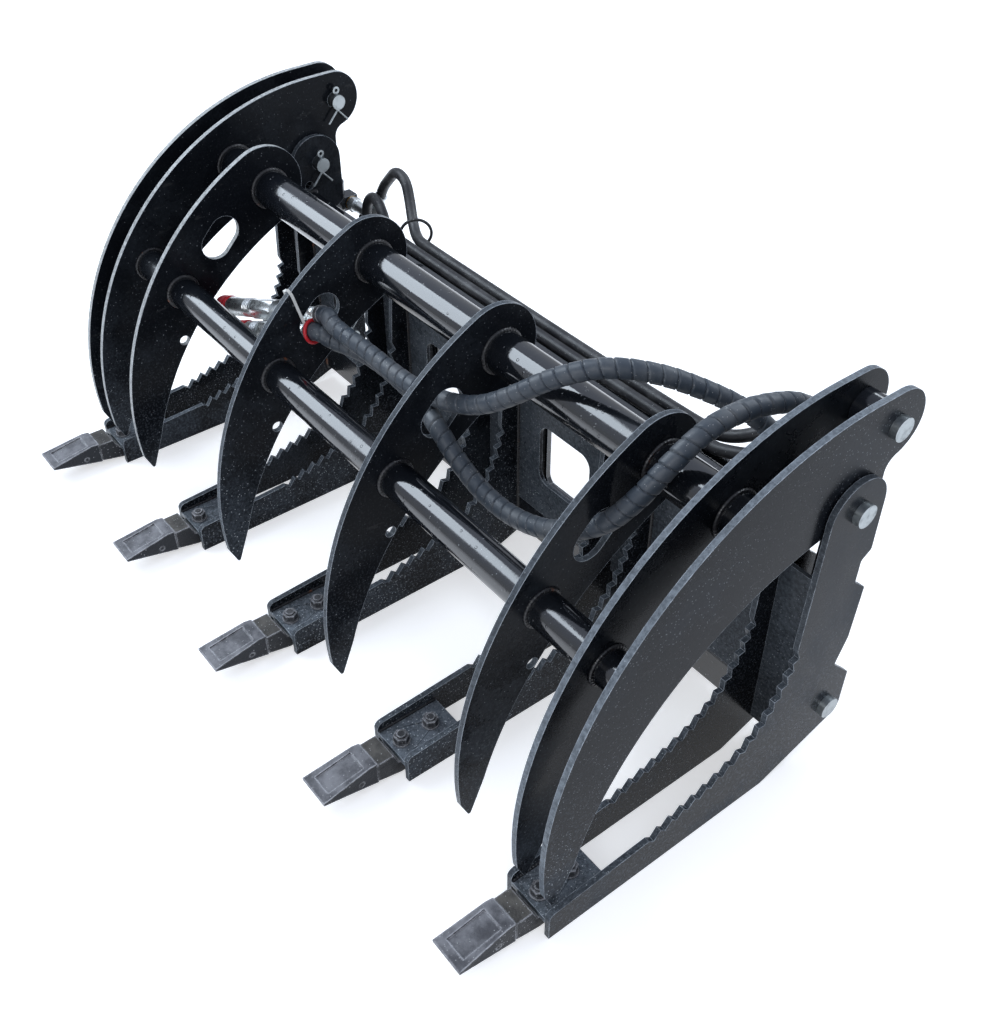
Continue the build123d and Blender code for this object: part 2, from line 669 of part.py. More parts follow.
# Cylinders, drawn along their own axis from the base pin to the rod pin
for side, word in ((-1, "left"), (1, "right")):
    x = side * end_centre
    axis = Plane(origin=place(x, *base_pin), x_dir=(1, 0, 0),
                 z_dir=(0, sin(cylinder_lean), cos(cylinder_lean)))
    bush_length = channel_inside - 2 * base_bush_gap
    eye_length = cylinder_space - 2 * rod_eye_gap

    with BuildPart() as barrel:
        with BuildSketch(axis.offset(barrel_bottom)):
            Circle(barrel_radius)
        extrude(amount=barrel_top - barrel_bottom)
        for port in (lower_port, upper_port):
            with BuildSketch(axis.offset(port - port_block / 2)):
                Rectangle(port_block, port_reach, align=(Align.CENTER, Align.MIN))
            extrude(amount=port_block)
        along_x(x - bush_length / 2, x + bush_length / 2, base_pin, base_bush_radius)
        with BuildSketch(axis.offset(barrel_floor)):
            Circle(bore_radius)
        extrude(amount=barrel_top, mode=Mode.SUBTRACT)
        along_x(x - bush_length, x + bush_length, base_pin, pin_radius + pin_fit, Mode.SUBTRACT)
        for port in (lower_port, upper_port):
            centre = axis.from_local_coords((0, 0, port))
            thread = axis.from_local_coords((0, port_axis, port))
            bar(centre, thread, port_bore, Mode.SUBTRACT)
            bar(thread, thread - Vector(side * port_block, 0, 0), port_bore, Mode.SUBTRACT)
    save(barrel.part, f"cylinder_barrel_{word}")

    with BuildPart() as gland:
        with BuildSketch(axis.offset(barrel_top)):
            Circle(barrel_radius)
        extrude(amount=gland_collar)
        with BuildSketch(axis.offset(barrel_top)):
            Circle(bore_radius - cylinder_fit)
        extrude(amount=-gland_depth)
        with BuildSketch(axis):
            Circle(rod_radius + cylinder_fit)
        extrude(amount=cylinder_length, mode=Mode.SUBTRACT)
    save(gland.part, f"cylinder_gland_{word}")

    piston_bottom = piston_top - piston_length
    with BuildPart() as rod:
        with BuildSketch(axis.offset(piston_top)):
            Circle(rod_radius)
        extrude(amount=cylinder_length - piston_top)
        with BuildSketch(axis.offset(piston_top)):
            Circle(piston_seat_radius)
        extrude(amount=-piston_length - piston_nut - bolt_proud)
        along_x(x - eye_length / 2, x + eye_length / 2, rod_pin, rod_eye_radius)
        along_x(x - eye_length, x + eye_length, rod_pin, pin_radius + open_pivot_play, Mode.SUBTRACT)
    save(rod.part, f"cylinder_rod_{word}")

    with BuildPart() as piston:
        with BuildSketch(axis.offset(piston_bottom)):
            Circle(bore_radius - cylinder_fit)
        extrude(amount=piston_length)
        with BuildSketch(axis.offset(piston_bottom)):
            RegularPolygon(piston_nut_flats / 2, 6, major_radius=False)
        extrude(amount=-piston_nut)
        with BuildSketch(axis.offset(piston_top)):
            Circle(piston_seat_radius + cylinder_fit)
        extrude(amount=-2 * piston_length, mode=Mode.SUBTRACT)
    save(piston.part, f"cylinder_piston_{word}")


# Hose fittings: from each port block inwards, then up into the hose ferrules
def port_at(distance):
    u = base_pin[0] + distance * sin(cylinder_lean) + port_axis * cos(cylinder_lean)
    return u, base_pin[1] + distance * cos(cylinder_lean) - port_axis * sin(cylinder_lean)


block_face = end_centre - port_block / 2


def riser(foot, up, radius):
    """Stub, nut and ferrule from foot along up. Returns the point where the hose starts."""
    direction = up.normalized()
    nut_at = foot + direction * stub
    ferrule_at = nut_at + direction * fitting_nut_length
    end = ferrule_at + direction * ferrule_length
    bar(foot, nut_at, fitting_radius)
    hexagon(nut_at, ferrule_at, fitting_nut)
    bar(ferrule_at, end, radius)
    return end


def port_run(side, at, last_x):
    """Seal, nut and body along X from the port block to last_x."""
    seal_x = block_face - seal
    nut_x = seal_x - fitting_nut_length
    along_x(side * block_face, side * seal_x, at, seal_radius)
    hexagon(place(side * seal_x, *at), place(side * nut_x, *at), fitting_nut)
    along_x(side * nut_x, side * (last_x - fitting_radius), at, fitting_radius)


up = Vector(0, 0, 1)
supply_riser_x = end_centre - supply_riser_inset
upper_riser_x = end_centre - upper_riser_inset
lower_tee_x = end_centre - lower_tee_inset
lower_riser_x = end_centre - lower_riser_inset
left_elbow_x = end_centre - left_elbow_inset
upper_at = port_at(upper_port)
lower_at = port_at(lower_port)
with BuildPart() as fittings_right:
    port_run(1, upper_at, upper_riser_x)
    port_run(1, lower_at, lower_riser_x)
    supply_1_end = riser(place(supply_riser_x, *upper_at), up, ferrule_radius)
    upper_right_end = riser(place(upper_riser_x, *upper_at), up, ferrule_radius)
    supply_2_end = riser(place(lower_tee_x, *lower_at), up, ferrule_radius)
    lower_right_end = riser(place(lower_riser_x, *lower_at), up, ferrule_radius)
save(fittings_right.part, "hose_fittings_right")

tilted = Vector(cos(radians(left_elbow_tilt)), 0, sin(radians(left_elbow_tilt)))
with BuildPart() as fittings_left:
    port_run(-1, upper_at, left_elbow_x)
    port_run(-1, lower_at, lower_riser_x)
    upper_left_end = riser(place(-left_elbow_x, *upper_at), tilted, ferrule_radius)
    lower_left_end = riser(place(-lower_riser_x, *lower_at), up, ferrule_radius)
save(fittings_left.part, "hose_fittings_left")


# Hoses: straight runs joined by arcs as large as the runs allow
def hose(name, points, radius):
    radii = []
    for before, at, after in zip(points, points[1:], points[2:]):
        half_turn = radians((at - before).get_angle(after - at)) / 2
        shorter = min((at - before).length, (after - at).length)
        radii.append(bend_share * shorter * cos(half_turn) / sin(half_turn))
    with BuildPart() as tube:
        with BuildLine() as path:
            FilletPolyline(*points, radius=radii)
        with BuildSketch(Plane(origin=points[0], z_dir=points[1] - points[0])):
            Circle(radius)
        sweep()
    wanted = pi * radius ** 2 * path.wires()[0].length
    print(f"{name}: {path.wires()[0].length:.0f} mm long, tightest radius {min(radii):.0f},"
          f" volume {tube.part.volume / wanted:.4f} of section times length")
    save(tube.part, name)


def beside(x, u, z):
    """Hose point moved along X with the lid fingers: in proportion between them, all of it beyond."""
    inside = min(abs(x), drawn_finger_x)
    moved = inside * finger_x / drawn_finger_x + abs(x) - inside
    return place(moved if x > 0 else -moved, u, z)


def route(start, start_way, points, end, end_way):
    """Route from start to end, straight out of each fitting for the length of hose_lead."""
    between = [beside(*point) for point in points]
    return [start, start + start_way * hose_lead] + between + [end + end_way * hose_lead, end]


hose("cross_hose_upper", route(upper_left_end, tilted, [
    (-532, 156, 536), (-502, 149, 560), (-462, 134, 556), (-428, 115, 524), (-396, 98, 495),
    (-352, 90, 481), (440, 90, 481), (492, 95, 490), (536, 108, 518), (572, 128, 548),
    (603, 147, 545)], upper_right_end, up), hose_radius)

hose("cross_hose_lower", route(lower_left_end, up, [
    (-590, 132, 345), (-591, 113, 395), (-592, 106, 450), (-570, 100, 492), (-530, 84, 508),
    (-492, 73, 492), (-450, 66, 475), (470, 66, 475), (520, 72, 488), (560, 86, 500),
    (588, 100, 478), (592, 108, 430), (591, 119, 370), (590, 138, 320)], lower_right_end, up), hose_radius)

coupler_1 = beside(-160, -218, 530)
coupler_1_way = (beside(-485, -258, 395) - coupler_1).normalized()
coupler_2 = beside(-150, -242, 501)
coupler_2_way = (beside(-390, -272, 400) - coupler_2).normalized()

hose("supply_hose_1", route(supply_1_end, up, [
    (646, 140, 560), (640, 108, 614), (632, 62, 650), (622, 8, 668),
    (614, -45, 674), (610, -100, 668), (604, -150, 638), (590, -194, 586), (562, -224, 534),
    (518, -240, 500), (452, -245, 456), (370, -244, 428), (295, -244, 430), (232, -246, 460),
    (182, -246, 496), (120, -245, 512), (30, -245, 503), (-60, -241, 512)],
    coupler_2, -coupler_2_way), guard_radius)

hose("supply_hose_2", route(supply_2_end, up, [
    (622, 134, 350), (623, 116, 410), (620, 109, 470), (603, 100, 522),
    (574, 80, 565), (543, 44, 603), (510, -2, 634), (468, -52, 660), (412, -108, 666),
    (352, -156, 632), (300, -186, 584), (246, -208, 545), (182, -222, 524), (100, -226, 520),
    (10, -222, 528), (-70, -216, 545)], coupler_1, -coupler_1_way), guard_radius)

# Quick couplers and dust caps on the supply hoses
coupler_steps = [(coupler_1, coupler_1_way, *coupler_1_lengths),
                 (coupler_2, coupler_2_way, *coupler_2_lengths)]
with BuildPart() as couplers:
    for start, way, shank, nut, body in coupler_steps:
        bar(start, start + way * shank, coupler_shank)
        hexagon(start + way * shank, start + way * (shank + nut), coupler_nut)
        bar(start + way * (shank + nut), start + way * (shank + nut + body), coupler_radius)
save(couplers.part, "quick_couplers")

with BuildPart() as dust_caps:
    for start, way, shank, nut, body in coupler_steps:
        end = start + way * (shank + nut + body)
        bar(end - way * cap_length, end + way * cap_wall, cap_radius)
        bar(end - way * cap_length, end, coupler_radius + pin_fit, Mode.SUBTRACT)
save(dust_caps.part, "dust_caps")

# Ties: one round the two cross hoses, one round the web of a lid finger
upper_line = (90.0, 481.0)
lower_line = (66.0, 475.0)
hose_middle = ((upper_line[0] + lower_line[0]) / 2, (upper_line[1] + lower_line[1]) / 2)
hose_spacing = sqrt((upper_line[0] - lower_line[0]) ** 2 + (upper_line[1] - lower_line[1]) ** 2)
hose_slope = degrees(atan2(upper_line[1] - lower_line[1], upper_line[0] - lower_line[0]))
tie_inside = 2 * hose_radius + 2 * weld_gap
with BuildPart() as hose_tie:
    with BuildSketch(side_plane(tie_x)):
        with Locations(Location(hose_middle, hose_slope)):
            SlotCenterToCenter(hose_spacing, tie_inside + 2 * tie_thick)
            SlotCenterToCenter(hose_spacing, tie_inside, mode=Mode.SUBTRACT)
    extrude(amount=tie_width)
save(hose_tie.part, "hose_tie")

web_way = atan2(hose_hole_at[1] - lid_arc_centre[1], hose_hole_at[0] - lid_arc_centre[0])
web_inner = sqrt((hose_hole_at[0] - lid_arc_centre[0]) ** 2 + (hose_hole_at[1] - lid_arc_centre[1]) ** 2)
web_inner += hose_hole_width / 2 - tie_thick - tie_clear
web_outer = lid_arc_radius + weld_gap
web_middle = (web_inner + web_outer) / 2
tie_origin = place(finger_places[1], lid_arc_centre[0] + web_middle * cos(web_way),
                   lid_arc_centre[1] + web_middle * sin(web_way))
with BuildPart() as lid_tie:
    with BuildSketch(Plane(origin=tie_origin, x_dir=(1, 0, 0), z_dir=(0, sin(web_way), -cos(web_way)))):
        Rectangle(plate + 2 * weld_gap + 2 * tie_thick, web_outer - web_inner + 2 * tie_thick)
        Rectangle(plate + 2 * weld_gap, web_outer - web_inner, mode=Mode.SUBTRACT)
    extrude(amount=tie_width / 2, both=True)
save(lid_tie.part, "lid_tie")
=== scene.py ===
from math import cos, pi, radians, sin

import bpy
from mathutils import Matrix, Vector


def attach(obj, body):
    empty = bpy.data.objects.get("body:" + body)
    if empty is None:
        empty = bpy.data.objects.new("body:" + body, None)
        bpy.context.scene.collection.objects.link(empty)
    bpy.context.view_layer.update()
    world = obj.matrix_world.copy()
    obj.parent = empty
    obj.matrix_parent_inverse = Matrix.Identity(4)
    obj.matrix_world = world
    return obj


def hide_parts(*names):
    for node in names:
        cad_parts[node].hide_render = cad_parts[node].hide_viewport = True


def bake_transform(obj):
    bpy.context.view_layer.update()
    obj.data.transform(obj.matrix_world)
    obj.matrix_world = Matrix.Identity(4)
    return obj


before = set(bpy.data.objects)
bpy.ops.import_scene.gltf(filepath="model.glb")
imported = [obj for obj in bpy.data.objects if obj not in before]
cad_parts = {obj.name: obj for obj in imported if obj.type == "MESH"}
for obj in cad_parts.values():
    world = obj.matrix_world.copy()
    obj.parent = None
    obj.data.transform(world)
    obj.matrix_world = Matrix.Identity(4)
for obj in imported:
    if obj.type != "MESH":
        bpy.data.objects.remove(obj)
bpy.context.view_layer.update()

# Places taken from the model, in millimetres: X, u rearwards from TINE_FACE, and z
TINE_FACE = 224.0
END = 713.0
TINE_X = (-713.0, -356.5, 0.0, 356.5, 713.0)
CHANNEL = 98.0
PLATE = 10.0
FINGER_X = (-545.0, -545.0 / 3, 545.0 / 3, 545.0)
LID_PLATE_X = (-744.0, -682.0, 682.0, 744.0)
ROD_PIN = (124.0, 650.0)
UPPER_TUBE = (-115.0, 578.0, 36.5)
LOWER_TUBE = (-329.0, 427.0, 30.15)
TOP_BAR = (28.4, 438.1)
LOWER_BAR = (59.4, 74.1)
BAR_HALF = (25.4, 38.1)
UPPER_PORT = (157.05, 402.65)
LOWER_PORT = (149.15, 196.3)
UP = Vector((0, 0, 1))
TILTED = Vector((cos(radians(65)), 0, sin(radians(65))))
EYE_R = 37.0
# Sizes in metres
HOSE_R = 0.011
GUARD_R = 0.016
GUARD_PITCH = 0.0215
RISER = 0.070
HOSE_LEAD = 0.024


def at(x, u, z):
    """A place in the row frame, in metres."""
    return Vector((x, TINE_FACE + u, z)) / 1000


# Camera, at the photograph's angle
camera = bpy.data.objects.new("camera", bpy.data.cameras.new("camera"))
bpy.context.scene.collection.objects.link(camera)
bpy.context.scene.camera = camera
camera.data.sensor_fit = "HORIZONTAL"
camera.data.sensor_width = 36.0
camera.data.lens = 43.94
camera.matrix_world = Matrix(((0.6146, -0.5142, 0.5982, 1.4486), (0.7888, 0.4039, -0.4633, -0.8854),
                              (-0.0034, 0.7566, 0.6538, 1.6303), (0, 0, 0, 1)))


# Materials
class Graph:
    """A material's node graph. A socket given as an input is linked, and any other value is set."""

    def __init__(self, name):
        self.material = bpy.data.materials.new(name)
        self.material.use_nodes = True
        self.tree = self.material.node_tree
        self.tree.nodes.clear()

    def node(self, kind, inputs=None, **settings):
        made = self.tree.nodes.new("ShaderNode" + kind)
        for key, value in settings.items():
            setattr(made, key, value)
        for key, value in (inputs or {}).items():
            if isinstance(value, bpy.types.NodeSocket):
                self.tree.links.new(value, made.inputs[key])
            else:
                made.inputs[key].default_value = value
        return made

    def math(self, operation, *values):
        return self.node("Math", dict(enumerate(values)), operation=operation).outputs[0]

    def spread(self, value, low, high, to_low=0.0, to_high=1.0):
        """value from low to high, eased into to_low to to_high."""
        made = self.node("MapRange", {0: value, 1: low, 2: high, 3: to_low, 4: to_high},
                         interpolation_type="SMOOTHSTEP")
        return made.outputs[0]

    def mix(self, share, under, over):
        made = self.node("Mix", {0: share, 6: under, 7: over}, data_type="RGBA")
        return made.outputs[2]

    def place(self, stretch=(1, 1, 1)):
        coordinates = self.node("TexCoord").outputs["Object"]
        return self.node("Mapping", {"Vector": coordinates, "Scale": stretch}).outputs[0]

    def noise(self, where, scale, detail=4.0, rough=0.6):
        return self.node("TexNoise", {"Vector": where, "Scale": scale, "Detail": detail,
                                      "Roughness": rough}).outputs["Fac"]

    def specks(self, where, scale, size, share):
        """Small round specks in a share of the cells."""
        cells = self.node("TexVoronoi", {"Vector": where, "Scale": scale})
        near = self.spread(cells.outputs["Distance"], size, size * 1.6, 1.0, 0.0)
        pick = self.node("SeparateColor", {0: cells.outputs["Color"]}).outputs[0]
        return self.math("MULTIPLY", near, self.math("LESS_THAN", pick, share))

    def edges(self, radius):
        """1 along the sharp edges, 0 on the flats."""
        bevel = self.node("Bevel", {"Radius": radius}, samples=4).outputs[0]
        flat = self.node("NewGeometry").outputs["Normal"]
        dot = self.node("VectorMath", {0: bevel, 1: flat}, operation="DOT_PRODUCT").outputs["Value"]
        return self.spread(dot, 0.90, 0.995, 1.0, 0.0)

    def bump(self, height, strength, distance):
        return self.node("Bump", {"Height": height, "Strength": strength, "Distance": distance}).outputs[0]

    def finish(self, color, rough, normal=None, **constants):
        inputs = {"Base Color": color, "Roughness": rough}
        inputs.update({key.replace("_", " "): value for key, value in constants.items()})
        if normal is not None:
            inputs["Normal"] = normal
        shader = self.node("BsdfPrincipled", inputs)
        self.node("OutputMaterial", {"Surface": shader.outputs[0]})
        return self.material


def grey(value, blue=1.0):
    return (value, value, value * blue, 1.0)


BLACK = (0.0050, 0.0060, 0.0080, 1)
DUST = (0.080, 0.093, 0.110, 1)
GRIT = (0.16, 0.18, 0.205, 1)
SPECK = (0.44, 0.47, 0.49, 1)
# Edge tone: partly paint wear, partly a painted highlight along the edges
EDGE_WEAR_AND_HIGHLIGHT = (0.48, 0.52, 0.56, 1)
RUST = (0.22, 0.08, 0.03, 1)
# Cut-face tones: partly paint wear, partly a painted reflection of the sky on the faces that face it
CUT_WEAR_AND_SKY_REFLECTION = (0.23, 0.26, 0.29, 1)
PALE_CUT_WEAR_AND_SKY_REFLECTION = (0.50, 0.51, 0.50, 1)


def paint(name, rim=0.0, dust=0.3, specks=0.1, gloss=0.2, rough=0.2, wear=0.35, drops=0.0, cut_and_reflection_tone=CUT_WEAR_AND_SKY_REFLECTION):
    """Black paint with dust and specks, more of them lower down, and paler cut faces and edges. The pale cut
    faces are partly wear and partly a painted sky reflection; the pale edges are partly wear and partly a
    painted highlight.
    rim is how pale the cut faces are, wear how far the pale edges reach, and drops the share of water drops."""
    g = Graph(name)
    where = g.place()
    patches = g.noise(where, 7.0, 6.0)
    fine = g.noise(where, 160.0, 5.0, 0.7)
    film = g.math("MULTIPLY", g.spread(patches, 0.42, 0.72), g.spread(fine, 0.35, 0.7, 0.3, 1.0))
    film = g.math("MULTIPLY", film, dust)
    dots = g.math("ADD", g.specks(where, 85.0, 0.085, specks), g.specks(where, 190.0, 0.14, specks * 1.6))
    low = g.node("SeparateXYZ", {0: g.node("TexCoord").outputs["Object"]}).outputs[2]
    low = g.spread(low, 0.05, 0.48, 1.0, 0.30)
    dots = g.math("MULTIPLY", g.math("MULTIPLY", dots, low), g.spread(patches, 0.38, 0.6, 0.2, 1.0))
    film = g.math("MULTIPLY", film, low)
    grit = g.spread(g.noise(where, 230.0, 4.0, 0.75), 0.50, 0.66)
    grit = g.math("MULTIPLY", grit, g.math("POWER", low, 2.0))
    scratch = g.noise(g.place((240.0, 16.0, 60.0)), 1.0, 3.0)
    scratch = g.math("MULTIPLY", g.spread(scratch, 0.66, 0.72), 0.25)
    color = g.mix(film, BLACK, DUST)
    color = g.mix(g.math("MULTIPLY", grit, 0.55 * dust), color, GRIT)
    color = g.mix(scratch, color, grey(0.06))
    # Cut faces, whose normals lie across X, get a paler tone: partly wear, partly a painted sky reflection
    normal_x = g.node("SeparateXYZ", {0: g.node("NewGeometry").outputs["True Normal"]}).outputs[0]
    cut = g.math("MULTIPLY", g.math("LESS_THAN", g.math("ABSOLUTE", normal_x), 0.6), rim)
    cut = g.math("MULTIPLY", cut, g.spread(fine, 0.3, 0.7, 0.4, 1.0))
    color = g.mix(cut, color, cut_and_reflection_tone)
    # Paler edge lines: partly wear, partly a painted highlight
    pale_edge = g.math("MULTIPLY", g.edges(0.0018), g.spread(g.noise(where, 60.0), 0.4, 0.62, wear, 1.0))
    color = g.mix(pale_edge, color, EDGE_WEAR_AND_HIGHLIGHT)
    rust = g.spread(g.noise(where, 11.0, 7.0, 0.7), 0.70, 0.74, 0.0, 0.8)
    color = g.mix(g.math("MULTIPLY", rust, g.math("MAXIMUM", pale_edge, 0.15)), color, RUST)
    color = g.mix(g.math("MINIMUM", dots, 0.95), color, SPECK)
    shine = g.spread(patches, 0.3, 0.8, rough - 0.04, rough + 0.12)
    shine = g.math("ADD", shine, g.math("MULTIPLY", cut, 0.2))
    shine = g.math("ADD", shine, g.math("MULTIPLY", film, 0.5))
    height = g.noise(where, 220.0, 2.0)
    strength = 0.10
    if drops:
        height = g.math("ADD", g.math("MULTIPLY", height, 0.2), g.specks(where, 80.0, 0.14, drops))
        strength = 0.5
    skin = g.bump(height, strength, 0.0006)
    return g.finish(color, shine, skin, Specular_IOR_Level=gloss)


def cast(name, dark, light, bump=0.6, flanks=0.0, gloss=0.5):
    """Casting: pitted, with paler edges, partly wear and partly a painted highlight, and grit. flanks is the
    share of black paint on its sides.
    """
    g = Graph(name)
    where = g.place()
    patches = g.noise(where, 26.0, 7.0, 0.65)
    color = g.mix(g.spread(patches, 0.32, 0.7), dark, light)
    color = g.mix(g.specks(where, 300.0, 0.18, 0.16), color, grey(0.34))
    # Paler rims on the edges: partly wear, partly a painted highlight
    pale_edge = g.math("MULTIPLY", g.edges(0.0045), g.spread(g.noise(where, 90.0), 0.35, 0.6, 0.35, 1.0))
    color = g.mix(pale_edge, color, grey(0.42, 1.04))
    normal_x = g.node("SeparateXYZ", {0: g.node("NewGeometry").outputs["True Normal"]}).outputs[0]
    flank = g.math("GREATER_THAN", g.math("ABSOLUTE", normal_x), 0.7)
    flank = g.math("MULTIPLY", flank, g.math("SUBTRACT", flanks, g.math("MULTIPLY", pale_edge, flanks)))
    color = g.mix(flank, color, (0.011, 0.013, 0.017, 1))
    dots = g.math("MULTIPLY", g.specks(where, 150.0, 0.13, 0.3), flank)
    color = g.mix(dots, color, grey(0.30, 1.05))
    rough = g.spread(patches, 0.3, 0.7, 0.42, 0.62)
    height = g.math("ADD", g.noise(where, 240.0, 5.0, 0.7), g.math("MULTIPLY", g.noise(where, 60.0), 1.2))
    return g.finish(color, rough, g.bump(height, bump, 0.0012), Specular_IOR_Level=gloss)


def metal(name, color, rough, tarnish=0.25, grain=(1, 1, 1)):
    """Bare or plated metal with slight stains and fine grain."""
    g = Graph(name)
    where = g.place(grain)
    stain = g.math("MULTIPLY", g.spread(g.noise(g.place(), 70.0, 5.0), 0.45, 0.75), tarnish)
    base = g.mix(stain, color, tuple(c * 0.35 for c in color[:3]) + (1,))
    shine = g.math("ADD", g.spread(g.noise(where, 300.0, 3.0), 0.3, 0.7, rough - 0.05, rough + 0.08),
                   g.math("MULTIPLY", stain, 0.4))
    return g.finish(base, shine, g.bump(g.noise(where, 400.0), 0.08, 0.0004), Metallic=1.0)


def rod_metal(name):
    """Chromed rod whose eye is painted black."""
    g = Graph(name)
    apart = g.node("SeparateXYZ", {0: g.node("TexCoord").outputs["Object"]})
    pin = at(0, *ROD_PIN)
    across = g.math("POWER", g.math("SUBTRACT", apart.outputs[1], pin.y), 2.0)
    along = g.math("POWER", g.math("SUBTRACT", apart.outputs[2], pin.z), 2.0)
    eye = g.math("LESS_THAN", g.math("SQRT", g.math("ADD", across, along)), EYE_R / 1000)
    color = g.mix(eye, (0.75, 0.76, 0.78, 1), (0.012, 0.014, 0.018, 1))
    rough = g.spread(g.noise(g.place(), 300.0, 3.0), 0.3, 0.7, 0.10, 0.20)
    return g.finish(color, rough, g.bump(g.noise(g.place(), 400.0), 0.05, 0.0004),
                    Metallic=g.math("SUBTRACT", 1.0, eye))


def rubber(name, color, rough, dust=0.3, scale=140.0):
    """Rubber or matte plastic with dust in it and a fine grain."""
    g = Graph(name)
    where = g.place()
    film = g.math("MULTIPLY", g.spread(g.noise(where, 24.0, 6.0), 0.38, 0.72), dust)
    tint = g.mix(film, color, grey(0.17, 0.98))
    tint = g.mix(g.specks(where, 340.0, 0.16, 0.10), tint, grey(0.30))
    pale_edge = g.math("MULTIPLY", g.edges(0.0012), 0.35)
    tint = g.mix(pale_edge, tint, grey(0.20))
    return g.finish(tint, g.spread(g.noise(where, 60.0), 0.3, 0.7, rough - 0.06, rough + 0.08),
                    g.bump(g.noise(where, scale * 3, 3.0), 0.25, 0.0006), Specular_IOR_Level=0.4)


def weld_metal(name):
    """Painted weld bead with a little rust coming through."""
    g = Graph(name)
    where = g.place()
    rust = g.math("MULTIPLY", g.spread(g.noise(where, 30.0, 6.0, 0.7), 0.60, 0.68), 0.9)
    color = g.mix(g.spread(g.noise(where, 90.0), 0.4, 0.7), grey(0.008, 1.15), grey(0.024, 1.1))
    color = g.mix(rust, color, (0.17, 0.055, 0.02, 1))
    return g.finish(color, g.spread(g.noise(where, 50.0), 0.3, 0.7, 0.22, 0.42),
                    g.bump(g.noise(where, 420.0), 0.2, 0.0006), Specular_IOR_Level=0.5)


# rim sets how pale the cut faces are, partly wear and partly a painted sky reflection; the far plates, whose
# cut faces face the sky, get the palest
PLATE_PAINT = paint("plate_paint", rim=0.75, dust=0.75, specks=0.25, gloss=0.08, rough=0.22)
FINGER_PAINT = paint("finger_paint", rim=0.34, dust=0.75, specks=0.25, gloss=0.08, rough=0.22, wear=0.75)
FAR_PAINT_SKY_REFLECTION = paint("far_paint_sky_reflection", rim=0.85, dust=0.6, specks=0.18, gloss=0.08, rough=0.22, wear=0.75,
                  cut_and_reflection_tone=PALE_CUT_WEAR_AND_SKY_REFLECTION)
TINE_PAINT = paint("tine_paint", rim=0.30, dust=0.85, specks=0.40, gloss=0.08, rough=0.22)
TUBE_PAINT = paint("tube_paint", dust=0.2, specks=0.06, gloss=1.0, rough=0.09, drops=0.45)
TIP_PAINT = paint("tip_paint", rim=0.4, dust=1.6, specks=0.6, gloss=0.2, rough=0.3)
BARREL_PAINT = paint("barrel_paint", rim=0.0, dust=0.15, specks=0.05, gloss=0.5, rough=0.15)
CHROME = rod_metal("hard_chrome")
MACHINED = metal("machined_steel", (0.42, 0.42, 0.43, 1), 0.3)
SILVER = metal("plated_fitting", (0.72, 0.74, 0.74, 1), 0.29, 0.22)
ZINC = metal("zinc_pin", (0.36, 0.39, 0.40, 1), 0.34, 0.5)
BRASS = metal("brass_ring", (0.52, 0.33, 0.13, 1), 0.32, 0.4)
BLACK_OXIDE = cast("black_oxide", grey(0.016, 1.1), grey(0.060, 1.06), 0.2)
TOOTH_STEEL = cast("tooth_steel", grey(0.060, 1.12), grey(0.20, 1.06), flanks=0.95,
                   gloss=0.22)
SHANK_STEEL = cast("shank_steel", (0.030, 0.028, 0.026, 1), (0.105, 0.098, 0.088, 1), 0.9,
                   flanks=0.9, gloss=0.25)
HOSE_RUBBER = rubber("hose_rubber", grey(0.014, 1.15), 0.42, 0.25)
GUARD_PLASTIC = rubber("guard_plastic", (0.035, 0.045, 0.058, 1), 0.42, 0.3)
RED_RUBBER = rubber("red_rubber", (0.52, 0.012, 0.02, 1), 0.4, 0.06)
BLACK_NYLON = rubber("black_nylon", grey(0.018), 0.4, 0.1)
WHITE_NYLON = rubber("white_nylon", grey(0.62, 0.95), 0.42, 0.05)
WELD = weld_metal("weld")


def material_for(node):
    if node in ("lid_plate_1", "lid_plate_2", "lid_finger_1"):
        return FAR_PAINT_SKY_REFLECTION
    if node.startswith("lid_finger"):
        return FINGER_PAINT
    if node.startswith("lid_plate"):
        return PLATE_PAINT
    if node.startswith("tine_"):
        return TINE_PAINT
    if node.startswith("tooth_") and node[-1].isdigit():
        return TOOTH_STEEL
    by_name = {"back_panels": TINE_PAINT, "channel_webs": TINE_PAINT, "mounting_plate": TUBE_PAINT,
               "tip_plates": TIP_PAINT, "tooth_shanks": SHANK_STEEL, "tooth_bolts": BLACK_OXIDE,
               "tooth_nuts": BLACK_OXIDE, "tooth_washers": BLACK_OXIDE, "tooth_pins": SHANK_STEEL,
               "frame_pins": ZINC, "rod_pins": ZINC, "frame_cotter_pins": ZINC, "lid_cotter_pins": ZINC,
               "hose_tie": BLACK_NYLON, "lid_tie": WHITE_NYLON}
    if node in by_name:
        return by_name[node]
    for start, material in (("cylinder_barrel", BARREL_PAINT), ("cylinder_gland", BARREL_PAINT),
                            ("cylinder_rod", CHROME), ("cylinder_piston", MACHINED)):
        if node.startswith(start):
            return material
    return TUBE_PAINT


BEVELS = {"back_panels": 0.0006, "tooth_nuts": 0.0011, "tooth_bolts": 0.0008, "tooth_washers": 0.0005,
          "tooth_shanks": 0.0022, "frame_pins": 0.0014, "rod_pins": 0.0014, "tip_plates": 0.0012}
SKIP_BEVEL = ("cross_hose", "supply_hose", "frame_cotter", "lid_cotter", "hose_fittings", "quick_couplers",
              "dust_caps", "cylinder_piston")


def soften(obj, width):
    """Welds the CAD mesh's split corners, rounds its sharp edges and evens the shading."""
    weld = obj.modifiers.new("weld", "WELD")
    weld.merge_threshold = 0.00001
    bevel = obj.modifiers.new("bevel", "BEVEL")
    bevel.width = width
    bevel.segments = 2
    bevel.limit_method = "ANGLE"
    bevel.angle_limit = radians(38)
    bevel.use_clamp_overlap = True
    normals = obj.modifiers.new("normals", "WEIGHTED_NORMAL")
    normals.keep_sharp = False


